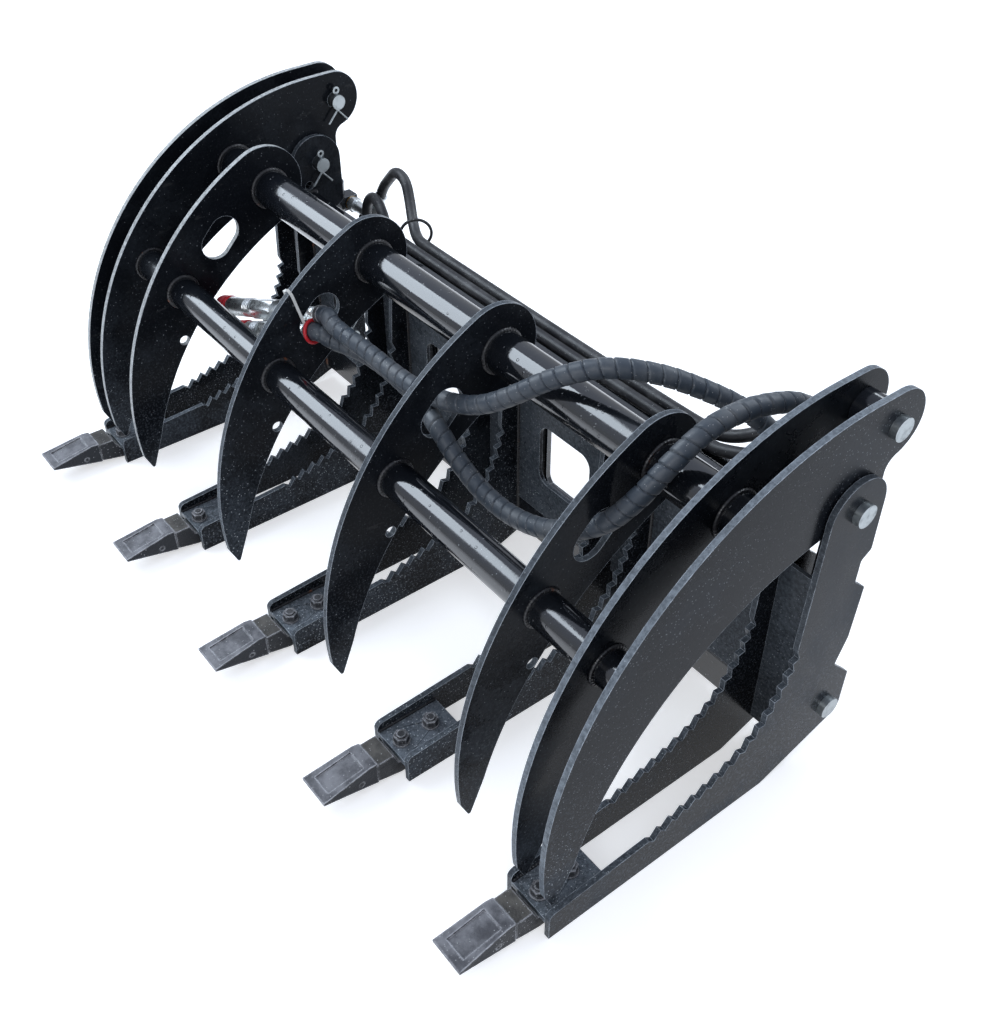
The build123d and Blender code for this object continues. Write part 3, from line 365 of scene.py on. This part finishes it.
for name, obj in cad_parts.items():
    obj.data.materials.clear()
    obj.data.materials.append(material_for(name))
    if not name.startswith(SKIP_BEVEL):
        soften(obj, 0.0025 if name[:-1] == "tooth_" else BEVELS.get(name, 0.0010))


# Mesh pieces
def piece(name, parts, material, body=None, sharp=35):
    """One object from (vertices, faces) parts."""
    vertices, faces = [], []
    for part_vertices, part_faces in parts:
        base = len(vertices)
        vertices += part_vertices
        faces += [tuple(base + i for i in face) for face in part_faces]
    mesh = bpy.data.meshes.new(name)
    mesh.from_pydata([tuple(v) for v in vertices], [], faces)
    mesh.validate()
    mesh.materials.append(material)
    mesh.shade_smooth()
    mesh.set_sharp_from_angle(angle=radians(sharp))
    obj = bpy.data.objects.new(name, mesh)
    bpy.context.scene.collection.objects.link(obj)
    if body:
        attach(obj, body)
    return obj


def frames_along(points, closed=False):
    """Tangent and two cross directions at each point, without twist."""
    count = len(points)
    tangents = []
    for i in range(count):
        before = points[(i - 1) % count] if closed or i else points[0]
        after = points[(i + 1) % count] if closed or i < count - 1 else points[-1]
        tangents.append((after - before).normalized())
    side = tangents[0].orthogonal().normalized()
    made = []
    for tangent in tangents:
        side = (side - tangent * side.dot(tangent)).normalized()
        made.append((side.copy(), tangent.cross(side)))
    return made


def skin(points, radius, segments=24, closed=False, sides=None):
    """Closed tube round points. radius is a number or a function of (distance, turn), in metres and radians."""
    sides = sides or frames_along(points, closed)
    size = radius if callable(radius) else (lambda distance, turn: radius)
    vertices, faces, distance = [], [], 0.0
    for i, point in enumerate(points):
        if i:
            distance += (point - points[i - 1]).length
        a, b = sides[i]
        for k in range(segments):
            turn = 2 * pi * k / segments
            vertices.append(point + (a * cos(turn) + b * sin(turn)) * size(distance, turn))
    rings = len(points)
    for i in range(rings if closed else rings - 1):
        low, high = i * segments, (i + 1) % rings * segments
        for k in range(segments):
            n = (k + 1) % segments
            faces.append((low + k, low + n, high + n, high + k))
    if not closed:
        faces.append(tuple(reversed(range(segments))))
        faces.append(tuple((rings - 1) * segments + k for k in range(segments)))
    return vertices, faces


def turned(start, way, profile, segments=48):
    """Turned piece along way. profile is (distance, radius, flats or 0) in millimetres."""
    a = way.orthogonal().normalized()
    b = way.cross(a)
    vertices, faces = [], []
    for distance, radius, flats in profile:
        for k in range(segments):
            turn = 2 * pi * k / segments
            reach = radius
            if flats:
                reach = min(radius, flats / 2 / cos((turn % (pi / 3)) - pi / 6))
            vertices.append(start + (way * distance + (a * cos(turn) + b * sin(turn)) * reach) / 1000)
    for i in range(len(profile) - 1):
        low, high = i * segments, (i + 1) * segments
        for k in range(segments):
            n = (k + 1) % segments
            faces.append((low + k, low + n, high + n, high + k))
    faces.append(tuple(reversed(range(segments))))
    faces.append(tuple((len(profile) - 1) * segments + k for k in range(segments)))
    return vertices, faces


def hexagon(start, length, flats):
    """Profile of a chamfered hexagonal nut."""
    corner, chamfer = flats * 0.5774, flats * 0.06
    return [(start, flats * 0.5, 0), (start + 0.02, flats * 0.5, flats), (start + chamfer, corner, flats),
            (start + length - chamfer, corner, flats), (start + length - 0.02, flats * 0.5, flats),
            (start + length, flats * 0.5, 0)]


def crimped(start, length, radius, crimps=4):
    """Profile of a crimped ferrule with shallow grooves and rolled ends."""
    profile = [(start, radius * 0.86, 0), (start + 1, radius, 0)]
    step = (length - 6) / crimps
    for i in range(crimps):
        s = start + 3 + i * step
        profile += [(s, radius, 0), (s + 0.25 * step, radius * 0.93, 0), (s + 0.75 * step, radius * 0.93, 0),
                    (s + step, radius, 0)]
    return profile + [(start + length - 1.5, radius, 0), (start + length, radius * 0.88, 0)]


def riser_profile():
    """Stub, swivel nut, neck and crimped ferrule of a hose end."""
    return ([(-10, 11.5, 0), (14, 11.5, 0), (15, 13.2, 0), (21, 13.2, 0), (22, 12.2, 0)]
            + hexagon(22, 18, 30) + [(40, 9.5, 0), (42, 9.5, 0)] + crimped(42, 29, 13.6))


def port_profile(length):
    """Seal, port nut and body, from the port block inwards."""
    return ([(0, 14.6, 0), (0.4, 15, 0), (2.6, 15, 0), (3, 14.2, 0)] + hexagon(3, 18, 30)
            + [(21, 11, 0), (23, 12, 0), (length - 2, 12, 0), (length, 10.5, 0)])


for side, word in ((-1, "left"), (1, "right")):
    face_x = END - 16
    ports = [(UPPER_PORT, 618 if side > 0 else 604), (LOWER_PORT, 590)]
    runs = [turned(at(side * face_x, *port), Vector((-side, 0, 0)), port_profile(face_x - last + 12))
            for port, last in ports]
    if side > 0:
        feet = [((648, *UPPER_PORT), UP), ((618, *UPPER_PORT), UP), ((622, *LOWER_PORT), UP),
                ((590, *LOWER_PORT), UP)]
    else:
        feet = [((-604, *UPPER_PORT), TILTED), ((-590, *LOWER_PORT), UP)]
    runs += [turned(at(*foot), way, riser_profile()) for foot, way in feet]
    fitting = piece(f"fittings_{word}", runs, SILVER, f"barrel_{word}")
    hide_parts(f"hose_fittings_{word}")
    caps = [turned(at(side * (face_x - 0.5), *port), Vector((-side, 0, 0)),
                   [(0, 12, 0), (0.2, 15.6, 0), (2.2, 15.6, 0), (2.4, 12, 0)]) for port, last in ports]
    piece(f"port_rings_{word}", caps, BRASS, f"barrel_{word}")


# Hoses: one smooth spline each, through the model's own route
def spline(points):
    curve = bpy.data.curves.new("route", "CURVE")
    curve.dimensions = "3D"
    curve.resolution_u = 12
    line = curve.splines.new("NURBS")
    line.points.add(len(points) - 1)
    for place, point in zip(line.points, points):
        place.co = (*point, 1)
    line.order_u = 3
    line.use_endpoint_u = True
    holder = bpy.data.objects.new("route", curve)
    bpy.context.scene.collection.objects.link(holder)
    mesh = bpy.data.meshes.new_from_object(holder.evaluated_get(bpy.context.evaluated_depsgraph_get()))
    read = [v.co.copy() for v in mesh.vertices]
    bpy.data.objects.remove(holder)
    return read


def even(points, step):
    """The same line with points about a step apart."""
    lengths = [0.0]
    for a, b in zip(points, points[1:]):
        lengths.append(lengths[-1] + (b - a).length)
    count = max(2, round(lengths[-1] / step))
    made, k = [], 0
    for i in range(count + 1):
        wanted = lengths[-1] * i / count
        while k < len(points) - 2 and lengths[k + 1] < wanted:
            k += 1
        share = (wanted - lengths[k]) / max(1e-9, lengths[k + 1] - lengths[k])
        made.append(points[k].lerp(points[k + 1], min(1.0, share)))
    return made


def route(foot, way, points, end, end_way):
    """Points of a hose from the top of a riser to its end."""
    start = at(*foot) + way * RISER
    between = [at(*point) for point in points]
    return [start - way * 0.004, start + way * HOSE_LEAD] + between + [end + end_way * HOSE_LEAD, end]


def guard_size(distance, turn):
    """Spiral wrap: flat bands with a narrow groove between their edges."""
    phase = (distance / GUARD_PITCH - turn / (2 * pi)) % 1.0
    groove = min(phase, 1 - phase) * GUARD_PITCH
    depth = 0.0030 * max(0.0, 1 - groove / 0.0018)
    lean = 0.0007 * (phase - 0.5)
    return GUARD_R - 0.0004 - depth + lean


def hose(name, points, split, size, step, segments, material, node):
    """Hose in two pieces that meet at the split."""
    line = even(spline(points), step)
    sides = frames_along(line)
    middle = min(range(2, len(line) - 2), key=lambda i: (line[i] - split).length)
    shift = middle * (line[1] - line[0]).length
    halves = ((line[:middle + 1], sides[:middle + 1], 0.0), (line[middle:], sides[middle:], shift))
    for i, (part, part_sides, offset) in enumerate(halves):
        radius = (lambda d, t, o=offset: size(d + o, t)) if callable(size) else size
        made = piece(f"{name}_{i + 1}", [skin(part, radius, segments, sides=part_sides)], material, sharp=50)
        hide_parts(node)
        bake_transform(made)


upper_cross = route((-604, *UPPER_PORT), TILTED, [
    (-540, 159, 516), (-508, 156, 547), (-466, 152, 543), (-434, 138, 510), (-404, 122, 484),
    (-366, 104, 472), (-320, 90, 479), (440, 90, 481), (492, 95, 490), (536, 108, 518), (572, 128, 548),
    (603, 147, 545)], at(618, *UPPER_PORT) + UP * RISER, UP)
lower_cross = route((-590, *LOWER_PORT), UP, [
    (-590, 138, 345), (-590, 128, 400), (-580, 124, 452), (-552, 120, 486), (-514, 112, 490),
    (-474, 98, 478), (-430, 76, 472), (-380, 66, 475), (470, 66, 475), (520, 72, 488), (560, 86, 500),
    (588, 100, 478), (592, 108, 430), (591, 119, 370), (590, 138, 320)],
    at(590, *LOWER_PORT) + UP * RISER, UP)
COUPLER_1, COUPLER_2 = at(-165, -236, 521), at(-168, -258, 494)
WAY_1 = (at(-485, -258, 395) - COUPLER_1).normalized()
WAY_2 = (at(-390, -280, 394) - COUPLER_2).normalized()
supply_1 = route((648, *UPPER_PORT), UP, [
    (640, 150, 524), (635, 134, 566), (632, 104, 616), (628, 62, 650), (622, 8, 668), (614, -45, 674),
    (610, -100, 668), (604, -150, 638), (590, -194, 586), (562, -224, 534), (518, -240, 500),
    (452, -245, 456), (370, -244, 428), (295, -244, 430), (232, -246, 460), (182, -246, 496),
    (120, -222, 480), (50, -210, 478), (-15, -210, 482), (-75, -220, 487), (-125, -240, 487)],
    COUPLER_2, -WAY_2)
supply_2 = route((622, *LOWER_PORT), UP, [
    (622, 134, 350), (623, 116, 410), (620, 109, 470), (603, 100, 522), (574, 80, 565),
    (543, 44, 603), (510, -2, 634), (468, -52, 660), (412, -108, 666), (352, -156, 632),
    (300, -186, 584), (246, -208, 545), (182, -222, 524), (120, -228, 513), (50, -229, 508),
    (-20, -232, 514), (-80, -238, 519), (-130, -240, 522)], COUPLER_1, -WAY_1)

for name, points, split in (("cross_hose_upper", upper_cross, at(0, 90, 481)),
                            ("cross_hose_lower", lower_cross, at(0, 66, 475))):
    hose("run_" + name, points, split, HOSE_R,
         0.006, 20, HOSE_RUBBER, name)
for name, points, split in (("supply_hose_1", supply_1, at(628, 62, 650)),
                            ("supply_hose_2", supply_2, at(574, 80, 565))):
    hose("run_" + name, points, split, guard_size, 0.0015, 36,
         GUARD_PLASTIC, name)


# Couplers and dust caps at the free ends
def coupler_profile(shank, nut, body):
    """Crimped ferrule, adapter, hexagon and sliding sleeve with its grooves."""
    sleeve = shank + nut
    profile = [(10, 9, 0)] + crimped(12, shank * 0.3, 12.6) + [(shank * 0.3 + 14, 9, 0)]
    profile += hexagon(shank * 0.5, shank * 0.2, 26) + [(shank * 0.72, 10.5, 0), (shank, 10.5, 0)]
    profile += hexagon(shank, nut, 36)
    profile += [(sleeve, 15.5, 0), (sleeve + 5, 15.5, 0), (sleeve + 5.5, 18.3, 0)]
    grooves = 4
    for i in range(grooves):
        s = sleeve + 9 + i * 6
        profile += [(s, 18.3, 0), (s + 1, 17.2, 0), (s + 3, 17.2, 0), (s + 4, 18.3, 0)]
    end = sleeve + body - 37
    return profile + [(end - 6, 18.3, 0), (end - 4, 16.2, 0), (end, 16.2, 0), (end + 6, 16.0, 0)]


def cap_profile(shank, nut, body):
    """Ribbed dust cap with a rolled rim and a domed end."""
    end = shank + nut + body
    profile = [(end - 36, 17.0, 0), (end - 35.5, 20.3, 0), (end - 31, 20.4, 0), (end - 30, 19.2, 0)]
    for i in range(5):
        s = end - 27 + i * 4.5
        profile += [(s, 19.2, 0), (s + 0.8, 19.9, 0), (s + 2.2, 19.9, 0), (s + 3, 19.2, 0)]
    return profile + [(end - 2, 19.2, 0), (end + 0.5, 18.4, 0), (end + 2, 16, 0), (end + 2.9, 9, 0)]


LENGTHS = ((COUPLER_1, WAY_1, (160, 78, 142)), (COUPLER_2, WAY_2, (110, 60, 98)))
couplers = piece("couplers", [turned(start, way, coupler_profile(*sizes)) for start, way, sizes in LENGTHS],
                 SILVER, "lid")
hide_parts("quick_couplers")
COLLAR = [(-6, 14, 0), (-5, 16.4, 0), (6, 16.4, 0), (9, 13, 0), (9.5, 9, 0)]
piece("hose_collars", [turned(start, way, COLLAR) for start, way, sizes in LENGTHS], BLACK_OXIDE, "lid")
caps = piece("caps", [turned(start, way, cap_profile(*sizes)) for start, way, sizes in LENGTHS],
             RED_RUBBER, "lid")
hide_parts("dust_caps")


# Weld beads
def rippled(radius, pitch):
    return lambda distance, turn: radius * (1 + 0.10 * sin(2 * pi * distance / pitch))


def ring(x, u, z, radius, count):
    turns = [2 * pi * i / count for i in range(count)]
    return [at(x, u + radius * cos(turn), z + radius * sin(turn)) for turn in turns]


def ring_bead(x, u, z, radius, bead=0.0042):
    count = 120
    length = 2 * pi * radius / 1000
    ripples = round(length / 0.006)
    return skin(ring(x, u, z, radius, count), rippled(bead, length / ripples), 10, closed=True)


def line_bead(start, end, bead=0.0036):
    points = even([start, end], 0.0016)
    return skin(points, rippled(bead, 0.006), 8)


lid_beads = []
for u, z, radius in (UPPER_TUBE, LOWER_TUBE):
    for x in FINGER_X + LID_PLATE_X[1:3]:
        lid_beads += [ring_bead(x + side * (PLATE / 2 + 0.6), u, z, radius + 0.6) for side in (-1, 1)]
    for x in (LID_PLATE_X[0], LID_PLATE_X[3]):
        inner = x - (PLATE / 2 + 0.6) * (1 if x > 0 else -1)
        lid_beads.append(ring_bead(inner, u, z, radius + 0.6))
piece("lid_welds", lid_beads, WELD, "lid")


def box_bead(x, middle, half):
    """Bead round a rectangular tube where it meets a plate at x."""
    u, z = middle
    corners = [at(x, u + a * half[0], z + b * half[1]) for a, b in ((-1, -1), (1, -1), (1, 1), (-1, 1))]
    return [line_bead(corners[i], corners[(i + 1) % 4], 0.0032) for i in range(4)]


frame_beads = []
for side in (-1, 1):
    frame_beads += box_bead(side * (END - CHANNEL / 2 - 0.5), TOP_BAR, BAR_HALF)
    frame_beads += box_bead(side * (END - CHANNEL / 2 - 0.5), LOWER_BAR, BAR_HALF)
for i, x in enumerate(TINE_X):
    for side in (-1, 1):
        outer = x + side * (CHANNEL / 2 + 0.4)
        inner = x + side * (CHANNEL / 2 - PLATE - 0.4)
        frame_beads.append(line_bead(at(inner, -478, 41.2), at(inner, -364, 41.2), 0.003))
        if abs(outer) > END:
            continue
        frame_beads.append(line_bead(at(outer, 33.6, 113), at(outer, 33.6, 398), 0.0034))
        frame_beads.append(line_bead(at(outer, 42.4, 113), at(outer, 42.4, 398), 0.0034))
        if abs(x) < END:
            frame_beads += box_bead(outer, LOWER_BAR, BAR_HALF)
            frame_beads.append(line_bead(at(outer, 5, 399.6), at(outer, 52, 399.6), 0.0034))
            frame_beads.append(line_bead(at(outer, 96.6, 56), at(outer, 96.6, 398), 0.0034))
piece("frame_welds", frame_beads, WELD, "frame")


# Cable tie heads and tails
def strip(points, width_way, width, thick):
    """Flat strip along points."""
    sides = []
    for i in range(len(points)):
        tangent = (points[min(i + 1, len(points) - 1)] - points[max(i - 1, 0)]).normalized()
        across = (width_way - tangent * width_way.dot(tangent)).normalized()
        sides.append((across, tangent.cross(across)))
    vertices, faces = [], []
    for point, (across, up) in zip(points, sides):
        for a, b in ((-1, -1), (1, -1), (1, 1), (-1, 1)):
            vertices.append(point + across * a * width / 2 + up * b * thick / 2)
    for i in range(len(points) - 1):
        for k in range(4):
            n = (k + 1) % 4
            faces.append((i * 4 + k, i * 4 + n, i * 4 + 4 + n, i * 4 + 4 + k))
    faces += [(3, 2, 1, 0), tuple(len(vertices) - 4 + k for k in range(4))]
    return vertices, faces


# White tie: from the finger's front edge down its near face, round the lower hose and back up the far face
TIE_LOOP = ((-182, -288, 581), (-174.6, -285, 577), (-174.4, -277, 545), (-171, -268, 510), (-168, -266, 488),
            (-168, -258, 476), (-170, -245, 480), (-175, -236, 494), (-187, -250, 520), (-189.6, -268, 548),
            (-189.4, -284, 575))
TIE_TURN = Vector((0.15, 1.0, 0.35))
loop = spline([at(*p) for p in TIE_LOOP + TIE_LOOP[:1]])
head = even([at(-193, -284, 566), at(-193, -286, 574)], 0.002)
strap = piece("lid_tie_strap", [strip(loop, TIE_TURN, 0.0052, 0.0014),
                                strip(head, Vector((1, 0, 0)), 0.006, 0.007)], WHITE_NYLON, "lid")
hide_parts("lid_tie")


def hoop(centre, first, second, radius):
    """Closed ring of thin cord through the ends of two half axes."""
    count = 60
    return skin([centre + first * cos(2 * pi * i / count) + second * sin(2 * pi * i / count)
                 for i in range(count)], radius, 12, closed=True)


lean = (WAY_2 + Vector((-0.25, -0.32, 0))).normalized()
wide = lean.orthogonal().normalized()
tether = hoop(COUPLER_2 - WAY_2 * 0.004, wide * 0.0195, lean.cross(wide) * 0.0195, 0.0034)
piece("cap_tether", [tether], RED_RUBBER, "lid")
loose_tie = hoop(at(-347, 90, 494), Vector((0.6, 0.75, 0.1)) * 0.032, Vector((0.1, -0.1, 0.99)) * 0.032, 0.0030)
loose_tie = piece("loose_hose_tie", [loose_tie], BLACK_NYLON, "frame")
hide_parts("hose_tie")

# Stage: pale floor and soft studio light
floor_graph = Graph("floor")
floor_noise = floor_graph.noise(floor_graph.place(), 3.0)
floor_color = floor_graph.mix(floor_noise, grey(0.80), grey(0.82))
floor_shader = floor_graph.node("BsdfPrincipled", {"Base Color": floor_color, "Roughness": 0.9,
                                                   "Specular IOR Level": 0.1})
path = floor_graph.node("LightPath")
seen = floor_graph.math("MAXIMUM", path.outputs["Is Camera Ray"], path.outputs["Is Glossy Ray"])
seen = floor_graph.math("MAXIMUM", seen, path.outputs["Is Transmission Ray"])
glow = floor_graph.node("Emission", {"Color": grey(1.0), "Strength": 0.5})
plain = floor_graph.node("AddShader", {0: floor_shader.outputs[0], 1: glow.outputs[0]})
both = floor_graph.node("MixShader", {0: seen, 1: floor_shader.outputs[0], 2: plain.outputs[0]})
floor_graph.node("OutputMaterial", {"Surface": both.outputs[0]})
bpy.ops.mesh.primitive_plane_add(size=60, location=(0, 0, -0.0005))
floor = bpy.context.object
floor.name = "floor"
floor.data.materials.append(floor_graph.material)

# World: a soft sky that is paler above, on every ray
world = bpy.data.worlds.new("studio")
bpy.context.scene.world = world
world.use_nodes = True
tree = world.node_tree
tree.nodes.clear()
height = tree.nodes.new("ShaderNodeSeparateXYZ")
tree.links.new(tree.nodes.new("ShaderNodeTexCoord").outputs["Generated"], height.inputs[0])
ramp = tree.nodes.new("ShaderNodeValToRGB")
ramp.color_ramp.elements[0].color = (0.66, 0.70, 0.76, 1)
ramp.color_ramp.elements[0].position = 0.05
ramp.color_ramp.elements[1].color = (0.74, 0.82, 1.0, 1)
ramp.color_ramp.elements[1].position = 0.7
soft = tree.nodes.new("ShaderNodeBackground")
soft.inputs[1].default_value = 0.8
output = tree.nodes.new("ShaderNodeOutputWorld")
tree.links.new(height.outputs[2], ramp.inputs[0])
tree.links.new(ramp.outputs[0], soft.inputs[0])
tree.links.new(soft.outputs[0], output.inputs[0])


def lamp(name, where, aim, size, power, color):
    data = bpy.data.lights.new(name, "AREA")
    data.shape = "RECTANGLE"
    data.size, data.size_y = size
    data.energy = power
    data.color = color
    obj = bpy.data.objects.new(name, data)
    bpy.context.scene.collection.objects.link(obj)
    obj.location = where
    obj.rotation_euler = (Vector(aim) - Vector(where)).to_track_quat("-Z", "Y").to_euler()


lamp("key", (-2.2, -0.9, 2.7), (0, 0, 0.3), (2.2, 2.6), 98, (0.80, 0.90, 1.0))
lamp("fill", (1.6, -3.0, 2.4), (0, 0, 0.3), (2.0, 1.4), 32, (0.97, 0.98, 1.0))
lamp("back", (0.4, 2.8, 2.8), (0, 0, 0.3), (3.0, 0.6), 50, (0.84, 0.92, 1.0))

bpy.context.scene.view_settings.view_transform = "Standard"
